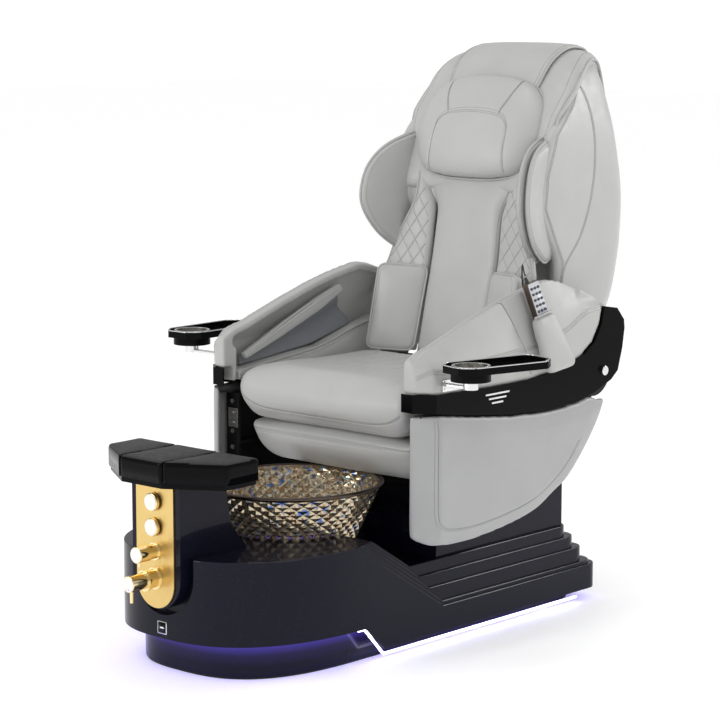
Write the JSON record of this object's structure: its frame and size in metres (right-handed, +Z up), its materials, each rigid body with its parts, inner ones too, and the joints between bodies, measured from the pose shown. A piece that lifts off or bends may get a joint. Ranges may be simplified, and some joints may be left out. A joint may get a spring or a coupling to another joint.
{
  "type": "pedicure spa chair",
  "caption": "Upholstered spa chair with a reclining back, lifting arms and swivel trays on a gloss base with a glass foot bowl, tap column and footrest.",
  "frame": {"origin": "on the floor under the middle of the width, near the middle of the length", "axes": "+Z up, -Y from the seat to the footrest, +X to the sitter's left"},
  "size_m": [1.0987, 1.6013, 1.449],
  "materials": {
    "gloss_navy": "high-gloss navy black with fine metallic flecks",
    "steel_plate": "black powder coat",
    "led": "blue-violet diffuser",
    "glass": "amber and blue iridescent faceted glass",
    "gold_brushed": "brushed gold",
    "gold_polished": "polished gold",
    "stainless": "satin stainless steel",
    "pipe": "plain grey plastic",
    "machine": "cast",
    "frame_black": "satin black powder coat",
    "upholstery": "coated fabric with a smooth leather grain over foam, warm light grey",
    "leather_panel": "smooth light warm-grey leather with stitched seams",
    "footrest_pad": "moulded foam, charcoal top and gloss navy sides",
    "gloss_black": "piano black",
    "black_plastic": "moulded",
    "chrome": "polished",
    "remote_silver": "silver face with dark bronze sides",
    "keypad": "soft dark keys",
    "cord": "matte black sheath"
  },
  "bodies": {
    "base": {"base_plate": "steel_plate", "plinth": "gloss_navy", "led_strip": "led", "base_shell": "gloss_navy", "base_frame": "steel_plate", "bowl": "glass", "drain_strainer": "stainless", "drain_pipe": "pipe", "water_inlets": "stainless", "power_inlet": "black_plastic", "discharge_pump": "black_plastic", "jet_housing": "black_plastic", "footrest_column": "gloss_navy", "control_panel": "gold_brushed", "valve_bodies": "gold_polished", "water_spout": "gold_polished", "seat_rails": "stainless"},
    "jet_impeller": {"jet_impeller": "pipe"},
    "jet_button": {"jet_button": "gold_polished"},
    "drain_button": {"drain_button": "gold_polished"},
    "diverter_knob": {"diverter_knob": "gold_polished"},
    "mixer_handle": {"mixer_handle": "gold_polished"},
    "footrest": {"footrest_carrier": "steel_plate", "footrest_pads": "footrest_pad"},
    "seat": {"seat_frame": "frame_black", "recline_motor": "machine", "seat_cushion": "upholstery", "seat_front_pad": "upholstery", "side_panels": "leather_panel", "side_frames": "frame_black", "frame_bolts": "stainless", "arm_pivot_pins": "chrome"},
    "back": {"back_frame": "frame_black", "back_pad": "upholstery", "bolsters": "upholstery", "lumbar_pads": "upholstery", "shoulder_wings": "upholstery", "head_pillow": "upholstery", "top_flap": "leather_panel", "back_shell": "leather_panel"},
    "carriage": {"massage_carriage": "machine"},
    "rollers": {"massage_rollers": "pipe"},
    "arm_left": {"arm_shell_left": "leather_panel", "arm_band_left": "gloss_black", "arm_pads_left": "upholstery", "tray_bracket_left": "chrome", "remote_body": "remote_silver", "remote_keypad": "keypad", "remote_holster": "leather_panel", "strain_relief": "cord", "remote_cord": "cord", "cord_gland": "black_plastic"},
    "arm_right": {"arm_shell_right": "leather_panel", "arm_band_right": "gloss_black", "arm_pads_right": "upholstery", "tray_bracket_right": "chrome"},
    "tray_left": {"tray_left": "gloss_black", "cup_insert_left": "stainless"},
    "tray_right": {"tray_right": "gloss_black", "cup_insert_right": "stainless"}
  },
  "joints": [
    {"name": "impeller_spin", "type": "hinge", "parent": "base", "child": "jet_impeller", "pos_m": [0, -0.352, 0.27], "axis": [0, 0, 1], "continuous": true},
    {"name": "jet_press", "type": "slide", "parent": "base", "child": "jet_button", "axis": [0, 1, 0], "range_m": [0, 0.004], "stiffness_N_per_m": 500, "springref_m": -0.002},
    {"name": "drain_press", "type": "slide", "parent": "base", "child": "drain_button", "axis": [0, 1, 0], "range_m": [0, 0.004], "stiffness_N_per_m": 500, "springref_m": -0.002},
    {"name": "diverter_turn", "type": "hinge", "parent": "base", "child": "diverter_knob", "pos_m": [0, -0.77, 0.302], "axis": [0, -1, 0], "range_deg": [-90, 90]},
    {"name": "mixer_turn", "type": "hinge", "parent": "base", "child": "mixer_handle", "pos_m": [0, -0.79, 0.238], "axis": [0, -1, 0], "range_deg": [-60, 60]},
    {"name": "footrest_lift", "type": "slide", "parent": "base", "child": "footrest", "axis": [0, 0, 1], "range_m": [0, 0.06]},
    {"name": "seat_slide", "type": "slide", "parent": "base", "child": "seat", "axis": [0, -1, 0], "range_m": [0, 0.08]},
    {"name": "back_recline", "type": "hinge", "parent": "seat", "child": "back", "pos_m": [0, 0.375, 0.53], "axis": [-1, 0, 0], "range_deg": [0, 28]},
    {"name": "carriage_slide", "type": "slide", "parent": "back", "child": "carriage", "axis": [0, 0.1222, 0.9925], "range_m": [0, 0.38]},
    {"name": "roller_spin", "type": "hinge", "parent": "carriage", "child": "rollers", "pos_m": [0, 0.47303, 0.74972], "axis": [1, 0, 0], "continuous": true},
    {"name": "arm_lift_left", "type": "hinge", "parent": "seat", "child": "arm_left", "pos_m": [0.36, 0.496, 0.626], "axis": [-1, 0, 0], "range_deg": [0, 40]},
    {"name": "arm_lift_right", "type": "hinge", "parent": "seat", "child": "arm_right", "pos_m": [-0.36, 0.496, 0.626], "axis": [-1, 0, 0], "range_deg": [0, 40]},
    {"name": "tray_swivel_left", "type": "hinge", "parent": "arm_left", "child": "tray_left", "pos_m": [0.455, -0.133, 0.7], "axis": [0, 0, -1], "range_deg": [-10, 75]},
    {"name": "tray_swivel_right", "type": "hinge", "parent": "arm_right", "child": "tray_right", "pos_m": [-0.482, -0.136, 0.7], "axis": [0, 0, 1], "range_deg": [0, 75]}
  ]
}
